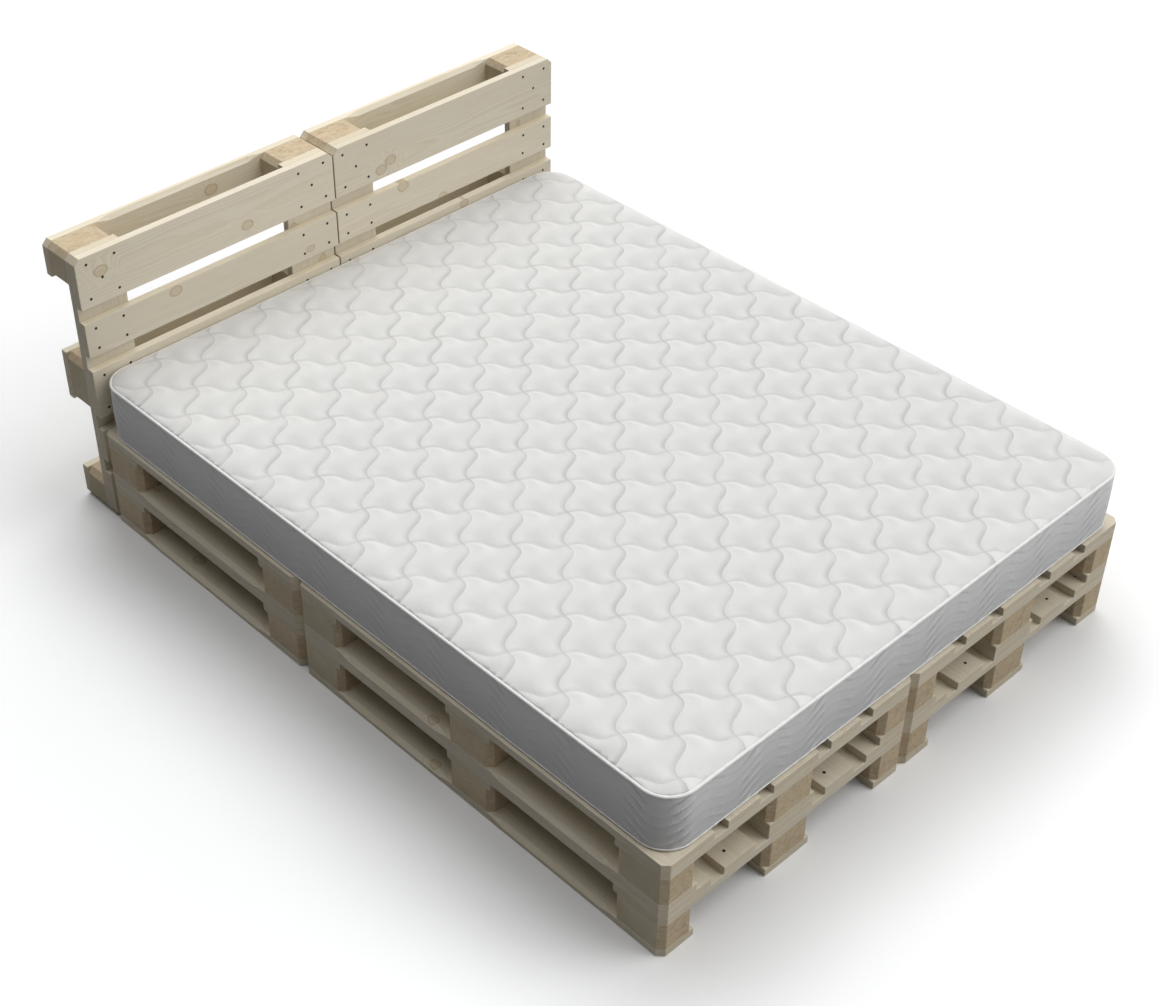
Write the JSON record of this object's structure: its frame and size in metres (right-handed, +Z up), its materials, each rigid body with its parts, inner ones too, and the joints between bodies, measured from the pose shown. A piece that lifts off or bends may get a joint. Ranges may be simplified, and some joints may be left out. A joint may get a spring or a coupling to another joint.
{
  "type": "pallet bed",
  "caption": "Low double bed: flat wooden pallets stacked in two layers carry a quilted mattress, with pallets on edge as the headboard.",
  "frame": {"origin": "on the floor under the middle of the whole bed, headboard included", "axes": "+X to the right of someone at the foot, +Y from the foot to the headboard, +Z up"},
  "size_m": [1.604, 2.156, 0.8],
  "materials": {
    "pine_boards": "matte",
    "pine_boards_and_chipboard_blocks": "matte",
    "white_ticking": "matte",
    "grey_border_cloth": "matte",
    "piping_cloth": "matte",
    "foam": "matte",
    "nail_steel": "matte"
  },
  "bodies": {
    "pallets": {"lower_foot_left_deck": "pine_boards", "lower_foot_left_skid_left": "pine_boards_and_chipboard_blocks", "lower_foot_left_skid_middle": "pine_boards_and_chipboard_blocks", "lower_foot_left_skid_right": "pine_boards_and_chipboard_blocks", "lower_foot_right_deck": "pine_boards", "lower_foot_right_skid_left": "pine_boards_and_chipboard_blocks", "lower_foot_right_skid_middle": "pine_boards_and_chipboard_blocks", "lower_foot_right_skid_right": "pine_boards_and_chipboard_blocks", "lower_head_left_deck": "pine_boards", "lower_head_left_skid_left": "pine_boards_and_chipboard_blocks", "lower_head_left_skid_middle": "pine_boards_and_chipboard_blocks", "lower_head_left_skid_right": "pine_boards_and_chipboard_blocks", "lower_head_right_deck": "pine_boards", "lower_head_right_skid_left": "pine_boards_and_chipboard_blocks", "lower_head_right_skid_middle": "pine_boards_and_chipboard_blocks", "lower_head_right_skid_right": "pine_boards_and_chipboard_blocks", "upper_foot_left_deck": "pine_boards", "upper_foot_left_skid_left": "pine_boards_and_chipboard_blocks", "upper_foot_left_skid_middle": "pine_boards_and_chipboard_blocks", "upper_foot_left_skid_right": "pine_boards_and_chipboard_blocks", "upper_foot_right_deck": "pine_boards", "upper_foot_right_skid_left": "pine_boards_and_chipboard_blocks", "upper_foot_right_skid_middle": "pine_boards_and_chipboard_blocks", "upper_foot_right_skid_right": "pine_boards_and_chipboard_blocks", "upper_head_left_deck": "pine_boards", "upper_head_left_skid_left": "pine_boards_and_chipboard_blocks", "upper_head_left_skid_middle": "pine_boards_and_chipboard_blocks", "upper_head_left_skid_right": "pine_boards_and_chipboard_blocks", "upper_head_right_deck": "pine_boards", "upper_head_right_skid_left": "pine_boards_and_chipboard_blocks", "upper_head_right_skid_middle": "pine_boards_and_chipboard_blocks", "upper_head_right_skid_right": "pine_boards_and_chipboard_blocks", "headboard_left_deck_board_1": "pine_boards", "headboard_left_deck_board_2": "pine_boards", "headboard_left_deck_board_3": "pine_boards", "headboard_left_deck_board_4": "pine_boards", "headboard_left_deck_board_5": "pine_boards", "headboard_left_stringer_left": "pine_boards", "headboard_left_stringer_right": "pine_boards", "headboard_left_skid_upper": "pine_boards_and_chipboard_blocks", "headboard_left_skid_middle": "pine_boards_and_chipboard_blocks", "headboard_left_skid_lower": "pine_boards_and_chipboard_blocks", "headboard_right_deck_board_1": "pine_boards", "headboard_right_deck_board_2": "pine_boards", "headboard_right_deck_board_3": "pine_boards", "headboard_right_deck_board_4": "pine_boards", "headboard_right_deck_board_5": "pine_boards", "headboard_right_stringer_left": "pine_boards", "headboard_right_stringer_right": "pine_boards", "headboard_right_skid_upper": "pine_boards_and_chipboard_blocks", "headboard_right_skid_middle": "pine_boards_and_chipboard_blocks", "headboard_right_skid_lower": "pine_boards_and_chipboard_blocks"},
    "mattress": {"mattress_core": "foam", "mattress_top_panel": "white_ticking", "mattress_bottom_panel": "white_ticking", "mattress_border": "grey_border_cloth", "mattress_piping_top": "piping_cloth", "mattress_piping_bottom": "piping_cloth"}
  },
  "joints": [
    {"name": "mattress_lift", "type": "slide", "parent": "pallets", "child": "mattress", "axis": [0, 0, 1], "range_m": [0, 0.52]}
  ]
}
